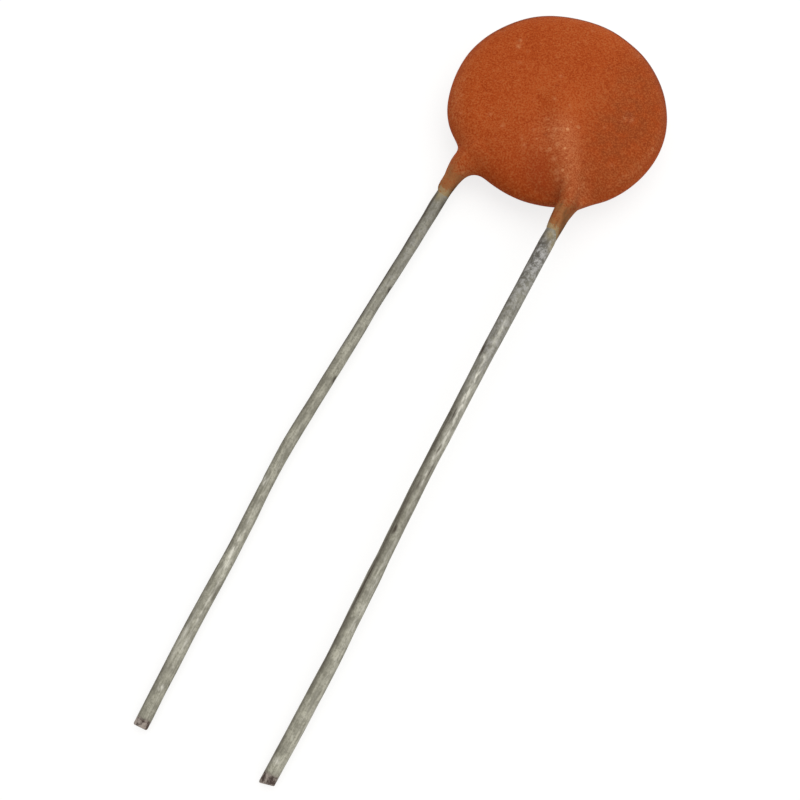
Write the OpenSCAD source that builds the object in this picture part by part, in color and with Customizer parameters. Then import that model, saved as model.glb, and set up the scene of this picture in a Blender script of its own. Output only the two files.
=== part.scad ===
// Ceramic disc capacitor with two radial leads, dip coated, in millimetres.
// It lies flat: +Z is the disc's axis, the leads run towards -Y and z = 0 is the
// surface it rests on. The front lead crosses the upper face of the ceramic disc
// and the rear lead crosses the lower one, as the two legs of a hairpin wire do.

/* [Ceramic element] */
// Diameter of the bare ceramic disc
ceramic_d = 8.4; // [7:0.1:14]
// Thickness of the ceramic disc
ceramic_t = 0.6; // [0.3:0.05:1]
// Bare ceramic border left around each silver electrode
electrode_margin = 0.4; // [0.2:0.05:0.8]
// Thickness of each silver electrode
electrode_t = 0.03; // [0.01:0.01:0.1]

/* [Solder] */
// Solder film between a seated lead and its electrode
solder_film = 0.03; // [0.02:0.01:0.1]
// Width of the solder bead on the electrode
solder_w = 1.2; // [0.9:0.05:2]
// Solder that stands on each side of the wire at the bead's top
solder_shoulder = 0.06; // [0.02:0.01:0.15]
// Height of the solder bead's top over the seated wire's axis
solder_rise = 0.05; // [0.03:0.01:0.15]
// Silver left bare between the solder bead and the electrode's edge
solder_margin = 0.15; // [0.05:0.05:0.5]

/* [Leads] */
// Diameter of the tinned wire
wire_d = 0.55; // [0.4:0.05:0.7]
// Spacing of the two leads where they leave the coating
exit_spacing = 4.84; // [4:0.05:6]
// Offset of the pair's middle from the disc's centre line
exit_offset = -0.16; // [-0.4:0.01:0.4]
// Length of the straight stretch of each lead that is seated on the disc
seat_len = 4.2; // [3:0.1:5.5]
// Slant of the front lead across the disc
front_slant = 30; // [20:1:40]
// Slant of the rear lead across the disc
rear_slant = 33; // [20:1:40]
// Radius of the bend at the disc's rim, on the wire's centre line
rim_bend_r = 0.9; // [0.6:0.1:1.5]
// Direction of the front lead below its rim bend, in degrees towards +X
front_heading = -0.75; // [-4:0.05:4]
// Direction of the rear lead below its rim bend, in degrees towards +X
rear_heading = -2.1; // [-4:0.05:4]
// Straight stretches of the front lead between its rim bend and its last bend
front_runs = [6.9, 5.4, 6.6]; // [1:0.1:20]
// Slight bends of the front lead after each of those stretches
front_turns = [0.75, 1.1, -1.9]; // [-8:0.05:8]
// Straight end stretch of the front lead, chamfer included
front_end = 4.35; // [3:0.05:20]
// Straight stretches of the rear lead between its rim bend and its last bend
rear_runs = [13.2, 2.6, 2.6]; // [1:0.1:20]
// Slight bends of the rear lead after each of those stretches
rear_turns = [5.2, -2.3, 1.8]; // [-8:0.05:8]
// Straight end stretch of the rear lead, chamfer included
rear_end = 3.45; // [3:0.05:20]
// Radius of the slight bends, on the wire's centre line
set_bend_r = 22; // [10:1:40]
// Chamfer left by the cut at each lead's end
tip_chamfer = 0.06; // [0.02:0.01:0.12]

/* [Coating] */
// Coating around the ceramic disc's edge
coat_rim = 0.42; // [0.3:0.01:0.8]
// Coating over each electrode, near the rim
coat_wall = 0.35; // [0.25:0.01:0.6]
// Coating over each seated lead
coat_over_lead = 0.28; // [0.15:0.01:0.6]
// Coating around each lead where it leaves the rim
sleeve_wall = 0.12; // [0.08:0.01:0.25]
// Coating around each lead at the sleeve's feathered end
sleeve_end_wall = 0.03; // [0.02:0.005:0.06]
// Length of the front lead's sleeve below the rim
front_sleeve = 1.35; // [1:0.05:3]
// Length of the rear lead's sleeve below the rim
rear_sleeve = 1.95; // [1.3:0.05:3]
// Fillet between the rim and the outer side of the front lead
front_outer_fillet = 1.6; // [0.3:0.05:2]
// Fillet between the rim and the inner side of the front lead
front_inner_fillet = 0.12; // [0.05:0.01:1]
// Fillet between the rim and the outer side of the rear lead
rear_outer_fillet = 0.8; // [0.3:0.05:1.5]
// Fillet between the rim and the inner side of the rear lead
rear_inner_fillet = 0.55; // [0.1:0.05:1]

/* [Hidden] */
$fn = 96;

wire_r = wire_d / 2;
ceramic_r = ceramic_d / 2;
electrode_r = ceramic_r - electrode_margin;
stack_h = ceramic_t / 2 + electrode_t;           // middle plane to an electrode's face
wire_h = stack_h + solder_film + wire_r;         // middle plane to a seated wire's axis
coat_r = ceramic_r + coat_rim;
shoulder_h = stack_h + coat_wall;                // half thickness near the rim, and its rounding
crown_h = wire_h + wire_r + coat_over_lead;      // half thickness over the seated leads
pitch_bend_r = 2;                                // bend that drops a lead to the surface

// Corner of a lead's path on the rim, for a lead at x
function rim_corner(x) = [x, -sqrt(coat_r * coat_r - x * x)];
// Direction in plan of a heading: 0 runs along -Y, positive turns towards +X
function along(heading) = [sin(heading), -cos(heading)];
function across(heading) = [cos(heading), sin(heading)];

// Plan travel of stretches and bends that start along +X
function travel(runs, turns, heading = 0, i = 0) =
    runs[i] * [cos(heading), sin(heading)] + (i == len(turns) ? [0, 0] :
        sign(turns[i]) * set_bend_r
            * [sin(heading + turns[i]) - sin(heading), cos(heading) - cos(heading + turns[i])]
        + travel(runs, turns, heading + turns[i], i + 1));

// Slope that brings a lead's end down to the surface from height h over length u
function slope(h, u, guess = 0, tries = 3) = tries == 0 ? guess :
    slope(h, u, asin((h - wire_r * cos(guess) - pitch_bend_r * (1 - cos(guess))) / u), tries - 1);

// A lead: corner, seat heading, exit heading, height over the middle plane,
// stretches, bends, sleeve length, fillet towards -X, fillet towards +X
function corner(lead) = lead[0];
function seat_heading(lead) = lead[1];
function exit_heading(lead) = lead[2];
function level(lead) = lead[3];
function stretches(lead) = lead[4];
function bends(lead) = lead[5];
function sleeve_len(lead) = lead[6];
function low_fillet(lead) = lead[7];
function high_fillet(lead) = lead[8];
front = [rim_corner(exit_offset + exit_spacing / 2), front_slant, front_heading, wire_h,
         concat(front_runs, front_end), front_turns, front_sleeve,
         front_inner_fillet, front_outer_fillet];
rear = [rim_corner(exit_offset - exit_spacing / 2), -rear_slant, rear_heading, -wire_h,
        concat(rear_runs, rear_end), rear_turns, rear_sleeve,
        rear_outer_fillet, rear_inner_fillet];

function rim_turn(lead) = exit_heading(lead) - seat_heading(lead);
// From the corner to either end of the rim bend
function bend_leg(lead) = rim_bend_r * tan(abs(rim_turn(lead)) / 2);
function inner_end(lead) = corner(lead) - (bend_leg(lead) + seat_len) * along(seat_heading(lead));
function drop_slope(lead) =
    slope(crown_h + level(lead), travel(stretches(lead), bends(lead))[0]);

// ---- a lead's path, as frames: a point, the way ahead and the left-hand side ----

function at(frame) = frame[0];
function forward(frame) = frame[1];
function leftward(frame) = frame[2];
function up_of(frame) = cross(forward(frame), leftward(frame));
function ahead(frame, length) = [at(frame) + length * forward(frame), forward(frame), leftward(frame)];
// A bend to the left when turn is positive, and a bend downwards
function yaw(frame, turn, radius) = [
    at(frame) + sign(turn) * radius * (sin(turn) * forward(frame) + (1 - cos(turn)) * leftward(frame)),
    cos(turn) * forward(frame) + sin(turn) * leftward(frame),
    cos(turn) * leftward(frame) - sin(turn) * forward(frame)];
function dip(frame, turn, radius) = [
    at(frame) + radius * (sin(turn) * forward(frame) - (1 - cos(turn)) * up_of(frame)),
    cos(turn) * forward(frame) - sin(turn) * up_of(frame), leftward(frame)];

function start_frame(lead) = [concat(inner_end(lead), level(lead)),
                              concat(along(seat_heading(lead)), 0),
                              concat(across(seat_heading(lead)), 0)];
function seat_end(lead) = ahead(start_frame(lead), seat_len);
function rim_exit(lead) = yaw(seat_end(lead), rim_turn(lead), rim_bend_r);
function dip_end(lead) = dip(rim_exit(lead), drop_slope(lead), pitch_bend_r);

// Frame at distance s along the path, counted from the rim bend's end
function arc_len(lead) = rim_bend_r * abs(rim_turn(lead)) * PI / 180;
function dip_len(lead) = pitch_bend_r * drop_slope(lead) * PI / 180;
function frame_at(lead, s) =
    s <= -arc_len(lead) ? ahead(seat_end(lead), s + arc_len(lead))
    : s <= 0 ? yaw(seat_end(lead), rim_turn(lead) * (1 + s / arc_len(lead)), rim_bend_r)
    : s <= dip_len(lead) ? dip(rim_exit(lead), drop_slope(lead) * s / dip_len(lead), pitch_bend_r)
    : ahead(dip_end(lead), s - dip_len(lead));

SET_STEPS = 3;                                   // rings round a slight bend
RIM_STEPS_WIRE = 6;                              // rings round the rim bend
// Frames of the free length, up to the start of the straight end stretch
function free_frames(frame, runs, turns, i = 0) = i == len(turns) ? [] :
    let (a = ahead(frame, runs[i]),
         b = [for (j = [1 : SET_STEPS]) yaw(a, turns[i] * j / SET_STEPS, set_bend_r)])
    concat([a], b, free_frames(b[SET_STEPS - 1], runs, turns, i + 1));
function wire_frames(lead) = concat(
    [start_frame(lead)],
    [for (i = [0 : RIM_STEPS_WIRE]) frame_at(lead, arc_len(lead) * (i / RIM_STEPS_WIRE - 1))],
    [for (i = [1 : 2]) frame_at(lead, dip_len(lead) * i / 2)],
    free_frames(dip_end(lead), stretches(lead), bends(lead)));
function end_frame(lead) = let (w = wire_frames(lead)) w[len(w) - 1];
// Length of the straight end stretch, and the middle of its cut end
function end_len(lead) = stretches(lead)[len(bends(lead))];
function tip(lead) = at(ahead(end_frame(lead), end_len(lead)));

// The part is centred on its own length
disc_y = -(coat_r + min(tip(front)[1], tip(rear)[1])) / 2;

module seated() translate([0, disc_y, crown_h]) children();

// Closed skin over rings that hold the same number of points
module skin(rings) {
    n = len(rings[0]);
    last = len(rings) - 1;
    polyhedron(points = [for (ring = rings) each ring], convexity = 4, faces = concat(
        [[for (i = [0 : n - 1]) i]],
        [[for (i = [n - 1 : -1 : 0]) last * n + i]],
        [for (k = [0 : last - 1]) for (i = [0 : n - 1]) let (j = (i + 1) % n, a = k * n, b = a + n)
            each [[a + i, b + i, a + j], [a + j, b + i, b + j]]]));
}

// ---- leads ----

WIRE_SIDES = 24;
LAP = 0.2;                                       // the bent wire runs this far past its last bend
LAP_IN = 0.5;                                    // and this far into the straight end
LAP_R = 0.99;                                    // at this share of the wire's radius

function wire_ring(frame, radius) = [for (i = [0 : WIRE_SIDES - 1]) let (t = 360 * i / WIRE_SIDES)
    at(frame) + radius * (cos(t) * leftward(frame) + sin(t) * up_of(frame))];

module lead_wire(lead) {
    end = end_frame(lead);
    skin(concat([for (frame = wire_frames(lead)) wire_ring(frame, wire_r)],
                [for (s = [LAP / 2, LAP + LAP_IN]) wire_ring(ahead(end, s), LAP_R * wire_r)]));
    translate(at(end)) rotate([0, acos(forward(end)[2]), atan2(forward(end)[1], forward(end)[0])])
        rotate_extrude() polygon([[0, LAP], [wire_r, LAP], [wire_r, end_len(lead) - tip_chamfer],
                                  [wire_r - tip_chamfer, end_len(lead)], [0, end_len(lead)]]);
}

module front_lead() color("silver") seated() lead_wire(front);
module rear_lead() color("silver") seated() lead_wire(rear);

// ---- ceramic element ----

module ceramic_disc() color("tan") seated()
    translate([0, 0, -ceramic_t / 2]) cylinder(h = ceramic_t, r = ceramic_r);

module electrode_layer() translate([0, 0, ceramic_t / 2]) cylinder(h = electrode_t, r = electrode_r);
module front_electrode() color("gainsboro") seated() electrode_layer();
module rear_electrode() color("gainsboro") seated() mirror([0, 0, 1]) electrode_layer();

// ---- solder ----

// Distance from a lead's corner, inwards along its seat, to a circle about the disc's centre
function inwards_to(lead, radius) = let (c = corner(lead), p = c * along(seat_heading(lead)))
    p - sqrt(p * p - c * c + radius * radius);

// A bead of solder with round ends, along +X on an electrode's face
module bead(length, top) {
    half = wire_r + solder_shoulder;
    rotate([90, 0, 90]) linear_extrude(height = length)
        polygon([[-solder_w / 2, 0], [solder_w / 2, 0], [half, top], [-half, top]]);
    for (x = [0, length]) translate([x, 0, 0]) cylinder(h = top, r1 = solder_w / 2, r2 = half);
}

// The bead runs from the wire's inner end to the electrode's edge
module solder_bed(lead) {
    start = inner_end(lead);
    length = bend_leg(lead) + seat_len - inwards_to(lead, electrode_r - solder_margin - solder_w / 2);
    up = sign(level(lead));
    translate([start[0], start[1], up * stack_h]) rotate([0, 0, seat_heading(lead) - 90])
        mirror([0, 0, up > 0 ? 0 : 1]) bead(length, solder_film + wire_r + solder_rise);
}

module solder_bead(lead) difference() {
    solder_bed(lead);
    lead_wire(lead);
}

module front_solder() color("darkgray") seated() solder_bead(front);
module rear_solder() color("darkgray") seated() solder_bead(rear);

// ---- coating ----

// Half thickness of the coating at radius r: a rounded slab with a crown over the leads
function slab_at(r) = let (out = max(0, r - (coat_r - shoulder_h)))
    sqrt(max(0, shoulder_h * shoulder_h - out * out));
function crown_at(r) = (crown_h - shoulder_h) * pow(1 - pow(r / coat_r, 2), 2);
function half_thickness(r) = slab_at(r) + crown_at(r);

RIM_STEPS = 10;
CROWN_STEPS = 9;
// Radii of the profile's points, from the rim inwards, close together round the rim
profile_radii = concat(
    [for (i = [0 : RIM_STEPS - 1]) coat_r - shoulder_h * (1 - cos(90 * i / RIM_STEPS))],
    [for (i = [0 : CROWN_STEPS]) (coat_r - shoulder_h) * (1 - i / CROWN_STEPS)]);
profile = [for (r = profile_radii) [r, half_thickness(r)]];
profile_points = concat([for (i = [len(profile) - 1 : -1 : 1]) [profile[i][0], -profile[i][1]]], profile);

module coated_disc() rotate_extrude() polygon(profile_points);

// Cover of a lead: rings along its path, each the convex outline of a circle round the
// wire and of a flat ellipse, the web of coating that the rim draws out along the lead
RING_SIDES = 28;
WEB_H = 0.4;                                     // half height of the web at the rim
COVER_STEP = 0.3;                                // spacing of the rings inside the rim
COVER_RISE = 1.6;                                // inwards, its wall grows to the full one over this
WEB_FADE = 1.2;                                  // and the web is gone
SLEEVE_RINGS = 8;

// Where the fillet towards side (-1 or 1) of radius f leaves the wire
function fillet_start(lead, side, f) =
    let (x = corner(lead)[0] + side * (wire_r + sleeve_wall / 2 + f))
    -sqrt(max(0, pow(coat_r + f, 2) - x * x));
function fillet_reach(y, start, f) = let (d = min(f, max(0, y - start))) f - sqrt(f * f - d * d);

// Point of an ellipse's outline whose normal has angle t, and how far out it lies
function outline_point(c, w, h, t) =
    c + [w * w * cos(t), h * h * sin(t)] / sqrt(pow(w * cos(t), 2) + pow(h * sin(t), 2));
function further(p, q, t) = let (n = [cos(t), sin(t)]) p * n > q * n ? p : q;

// Radius of the coating round the wire at distance s below the rim bend's end
function cover_r(s, end) = wire_r + (s <= 0
    ? sleeve_wall + (coat_over_lead - sleeve_wall) * min(1, -s / COVER_RISE)
    : sleeve_wall + (sleeve_end_wall - sleeve_wall) * s / end);

function cover_ring(lead, s, end, low_start, high_start) = let (
    frame = frame_at(lead, s), y = at(frame)[1], r = cover_r(s, end),
    fade = min(1, max(0, 1 + s / WEB_FADE)),
    low = r + fade * fillet_reach(y, low_start, low_fillet(lead)),
    high = r + fade * fillet_reach(y, high_start, high_fillet(lead)),
    share = min(1, max(low, high) / r - 1),
    web_h = r + (WEB_H - r) * share,
    web_z = -sign(level(lead)) * (wire_h - WEB_H / 2) * share)
    [for (i = [0 : RING_SIDES - 1]) let (t = 360 * i / RING_SIDES,
        q = further(outline_point([0, 0], r, r, t),
                    outline_point([(high - low) / 2, web_z], (high + low) / 2, web_h, t), t))
        at(frame) + q[0] * leftward(frame) + q[1] * up_of(frame)];

module lead_cover(lead) {
    end = sleeve_len(lead) - bend_leg(lead);
    low_start = fillet_start(lead, -1, low_fillet(lead));
    high_start = fillet_start(lead, 1, high_fillet(lead));
    inside = seat_len + arc_len(lead);
    steps = ceil(inside / COVER_STEP);
    stations = concat([for (i = [0 : steps - 1]) inside * (i / steps - 1)],
                      [for (i = [0 : SLEEVE_RINGS]) end * i / SLEEVE_RINGS]);
    skin([for (s = stations) cover_ring(lead, s, end, low_start, high_start)]);
}

module coating() color([0.67, 0.29, 0.14]) difference() {
    seated() {
        coated_disc();
        lead_cover(front);
        lead_cover(rear);
    }
    ceramic_disc();
    front_electrode();
    rear_electrode();
    seated() {
        solder_bed(front);
        solder_bed(rear);
    }
    front_lead();
    rear_lead();
}

coating();
ceramic_disc();
front_electrode();
rear_electrode();
front_solder();
rear_solder();
front_lead();
rear_lead();
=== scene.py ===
"""A ceramic disc capacitor lying on a pale floor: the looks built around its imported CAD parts."""

import logging
import math
from collections.abc import Callable
from dataclasses import dataclass, field
from enum import Enum

import bpy
import numpy as np
from bpy.types import ID, Material, Node, NodeSocket, NodeTree, Object
from mathutils import Matrix, Vector


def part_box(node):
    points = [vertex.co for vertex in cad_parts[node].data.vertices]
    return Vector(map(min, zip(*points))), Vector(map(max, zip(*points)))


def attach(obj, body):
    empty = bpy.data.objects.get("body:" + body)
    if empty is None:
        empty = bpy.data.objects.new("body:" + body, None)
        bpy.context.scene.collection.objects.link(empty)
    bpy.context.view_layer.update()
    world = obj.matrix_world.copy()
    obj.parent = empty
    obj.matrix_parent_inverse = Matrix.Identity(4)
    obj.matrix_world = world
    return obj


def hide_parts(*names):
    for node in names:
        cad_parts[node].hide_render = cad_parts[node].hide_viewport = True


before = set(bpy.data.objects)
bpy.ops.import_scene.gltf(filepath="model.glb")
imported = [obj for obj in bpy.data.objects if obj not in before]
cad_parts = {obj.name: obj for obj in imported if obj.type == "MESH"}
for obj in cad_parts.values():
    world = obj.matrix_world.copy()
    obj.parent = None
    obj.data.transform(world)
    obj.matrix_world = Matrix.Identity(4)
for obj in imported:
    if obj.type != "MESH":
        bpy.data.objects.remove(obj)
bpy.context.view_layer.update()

log = logging.getLogger("disc_capacitor")

Array = np.ndarray
Colour = tuple[float, float, float, float]
Span = tuple[float, float]

MM = 0.001                     # the meshes are worked out in millimetres, and Blender's unit is the metre
BODY = "root"
WHITE = (1.0, 1.0, 1.0, 1.0)


class Wear(Enum):
    """What a spot does to a wire."""

    DENT = "dent"              # moves the surface, in mm
    # brown marks, and painted shade along both flanks
    TARNISH = "tarnish"
    # bare tin, and painted highlights
    BARE = "bare"
    CRUST = "crust"
    STRAW = "straw"


class Step(Enum):
    """What one node does in a chain of sums: its kind and its settings."""

    RANGE = ("MapRange", {})   # from the range of its first two numbers to that of the last two
    TIMES = ("Math", {"operation": "MULTIPLY"})
    TIMES_PLUS = ("Math", {"operation": "MULTIPLY_ADD"})
    HELD_TIMES = ("Math", {"operation": "MULTIPLY", "use_clamp": True})
    HELD_TIMES_PLUS = ("Math", {"operation": "MULTIPLY_ADD", "use_clamp": True})
    LESS = ("Math", {"operation": "SUBTRACT"})
    LARGER = ("Math", {"operation": "MAXIMUM"})


RANGE, TIMES, TIMES_PLUS, HELD_TIMES, HELD_TIMES_PLUS, LESS, LARGER = Step


# ---------------- small helpers


def linear(code: str) -> Colour:
    """Turns an sRGB colour, given as "#rrggbb", into linear red, green, blue and alpha."""
    shares = [int(code[i:i + 2], 16) / 255 for i in (1, 3, 5)]
    return (*(c / 12.92 if c <= 0.04045 else ((c + 0.055) / 1.055) ** 2.4 for c in shares), 1.0)


def per_mm(size: float) -> float:
    """Returns the texture scale, per metre, that repeats about every `size` millimetres."""
    return 1 / (size * MM)


def add_node(tree: NodeTree, kind: str, sockets: dict | None = None, **settings) -> Node:
    """Adds one node with its settings and links.

    Args:
        tree: the node tree.
        kind: the node's type, without its "ShaderNode" beginning.
        sockets: each input's value or the output that it is linked to, by name or number.
        settings: the node's own properties.

    Returns:
        The new node.
    """
    node = tree.nodes.new("ShaderNode" + kind)
    for name, value in settings.items():
        setattr(node, name, value)
    for name, value in (sockets or {}).items():
        if isinstance(value, NodeSocket):
            tree.links.new(value, node.inputs[name])
        else:
            node.inputs[name].default_value = value
    return node


def work_out(tree: NodeTree, value: dict[str, NodeSocket], steps: tuple[tuple, ...]) -> None:
    """Adds a chain of sums to a node tree, a node a step.

    Args:
        tree: the node tree.
        value: the known sockets by name, which each step's result joins or replaces.
        steps: rows of the result's name, the Step, and its inputs as names or numbers.
    """
    for name, step, *inputs in steps:
        kind, settings = step.value
        sockets = {place: value.get(entry, entry) for place, entry in enumerate(inputs)}
        value[name] = add_node(tree, kind, sockets, **settings).outputs[0]


def empty_material(name: str) -> Material:
    """Returns a new material whose node tree is empty."""
    material = bpy.data.materials.new(name)
    material.use_nodes = True
    material.node_tree.nodes.clear()
    return material


def lay_finish(
    tree: NodeTree, value: dict, noises: tuple, steps: tuple, layers: tuple, relief: float, shader: dict
) -> None:
    """Lays a finish's colours over one another and ends its node tree.

    Args:
        tree: the node tree.
        value: the known sockets by name, which the noises and the steps' results join.
        noises: rows of the noise's name, its place's name, its size in mm, detail, roughness and distortion.
        steps: as for work_out. One of their results is the relief's "height".
        layers: rows of a share's name and the colour that it lays on. The lowest colour's share is None.
        relief: the relief's full height in mm.
        shader: the shader's other inputs, as names or numbers.
    """
    for name, place, size, detail, roughness, distortion in noises:
        value[name] = add_node(tree, "TexNoise", {
            "Vector": value[place], "Scale": per_mm(size), "Detail": detail, "Roughness": roughness,
            "Distortion": distortion}).outputs["Fac"]
    work_out(tree, value, steps)
    for share, layer in layers:
        colour = linear(layer) if share is None else add_node(
            tree, "Mix", {0: value[share], 6: colour, 7: linear(layer)}, data_type="RGBA").outputs[2]
    bump = add_node(tree, "Bump", {"Strength": 1.0, "Distance": relief * MM, "Height": value["height"]})
    sockets = {name: value.get(entry, entry) for name, entry in shader.items()}
    look = add_node(tree, "BsdfPrincipled", sockets | {"Base Color": colour, "Normal": bump.outputs[0]})
    add_node(tree, "OutputMaterial", {"Surface": look.outputs[0]})


def add_object(name: str, data: ID) -> Object:
    """Returns a new object with this mesh, lamp or camera, linked to the scene."""
    thing = bpy.data.objects.new(name, data)
    bpy.context.scene.collection.objects.link(thing)
    return thing


def rise(value: Array, low: float, high: float) -> Array:
    """Returns 0 below `low`, 1 above `high` and a smooth step between them."""
    t = np.clip((value - low) / (high - low), 0, 1)
    return t * t * (3 - 2 * t)


def bell(distance: Array, radius: float) -> Array:
    """Returns a bell curve that is 1 at no distance and fades over `radius`."""
    return np.exp(-((distance / radius) ** 2))


def apart(x: Array, y: Array, place: Span) -> Array:
    """Returns how far points are from a place, seen from above."""
    return np.hypot(x - place[0], y - place[1])


def read_off(at: Array, stations: Array, vectors: Array) -> Array:
    """Returns the vectors of a table, read at places on or between its stations."""
    return np.stack([np.interp(at, stations, vectors[:, axis]) for axis in range(3)], -1)


def flow(a: Array, b: Array, width: Array | float) -> Array:
    """Returns the distance to two solids joined by a soft fillet of this width, from their own distances."""
    near = np.maximum(width - np.abs(a - b), 0) / width
    return np.minimum(a, b) - near * near * width / 4


def rounded(out: Array, above: Array, reach: Array, lift: Array) -> Array:
    """Rounds the edge of a slab as a quarter of an ellipse.

    Args:
        out: how far past the start of the rounding, seen from above.
        above: how far above the slab's flat part.
        reach: half width of the ellipse.
        lift: its half height.

    Returns:
        About the distance to the surface, below 0 inside.
    """
    out, above = np.maximum(out, 0), np.maximum(above, 0)
    scaled = np.hypot(out / reach, above / lift)
    slope = np.hypot(out / reach**2, above / lift**2)
    return np.where(slope > 1e-6, scaled * (scaled - 1) / np.maximum(slope, 1e-6), -lift)


def angle_between(a: Array, b: float) -> Array:
    """Returns the difference of two angles in degrees, from -180 to 180."""
    return (a - b + 180) % 360 - 180


@dataclass(frozen=True)
class Ripple:
    """Smooth unevenness of about one wavelength, in mm, made of plane waves in many directions."""

    wavelength: float
    seed: int
    waves: int = 20
    spread: Span = (0.7, 1.6)  # of the waves' lengths

    def at(self, points: Array) -> Array:
        """Works out the unevenness.

        Args:
            points: in mm.

        Returns:
            Its height at each point, with a spread of about 1.
        """
        rng = np.random.default_rng(self.seed)
        directions = rng.normal(size=(self.waves, 3))
        directions /= np.linalg.norm(directions, axis=1)[:, None]
        numbers = 2 * math.pi / (self.wavelength * rng.uniform(*self.spread, self.waves))
        phases = rng.uniform(0, 2 * math.pi, self.waves)
        total = np.zeros(len(points))
        for direction, number, phase in zip(directions, numbers, phases):
            total += np.cos(points @ (direction * number) + phase)
        return total * math.sqrt(2 / self.waves)


@dataclass(frozen=True)
class Spot:
    """A dent, lump, stain, painted shade or painted highlight on a lead or its sleeve, by place along from
    the rim and angle round it.

    Angle 0 is the lead's left side, which is +X, and 90 is its top.
    """

    along: float
    angle: float
    length: float
    spread: float
    strength: float

    def at(self, along: Array, angle: Array) -> Array:
        """Returns the spot's strength at places in mm and angles in degrees."""
        beside = angle_between(angle, self.angle) / self.spread
        return self.strength * np.exp(-(((along - self.along) / self.length) ** 2) - beside**2)


def mesh_object(
    name: str, points: Array, faces: list[list[int]], sheets: dict[str, Array]
) -> Object:
    """Makes a smooth-shaded object.

    Args:
        name: the piece's name.
        points: corners in mm.
        faces: corner numbers, a row a face.
        sheets: values that the finish reads, one or three a corner, by name.

    Returns:
        The object, linked to the scene.
    """
    mesh = bpy.data.meshes.new(name)
    mesh.from_pydata((points * MM).tolist(), [], faces)
    mesh.polygons.foreach_set("use_smooth", np.ones(len(mesh.polygons), bool))
    for label, values in sheets.items():
        wide = values.ndim == 2
        layer = mesh.attributes.new(label, "FLOAT_VECTOR" if wide else "FLOAT", "POINT")
        layer.data.foreach_set("vector" if wide else "value", values.astype(np.float32).ravel())
    mesh.update()
    return add_object(name, mesh)


def hand_over(piece: Object, finish: Material, node: str) -> None:
    """Dresses a piece, puts it on the body and lets it stand for its CAD node.

    Args:
        piece: the finished mesh object.
        finish: its material.
        node: the CAD node that it replaces.
    """
    piece.data.materials.append(finish)
    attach(piece, BODY)
    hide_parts(node)
    log.info("%s: %d corners, %d faces", piece.name, len(piece.data.vertices), len(piece.data.polygons))


# ---------------- finishes


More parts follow.
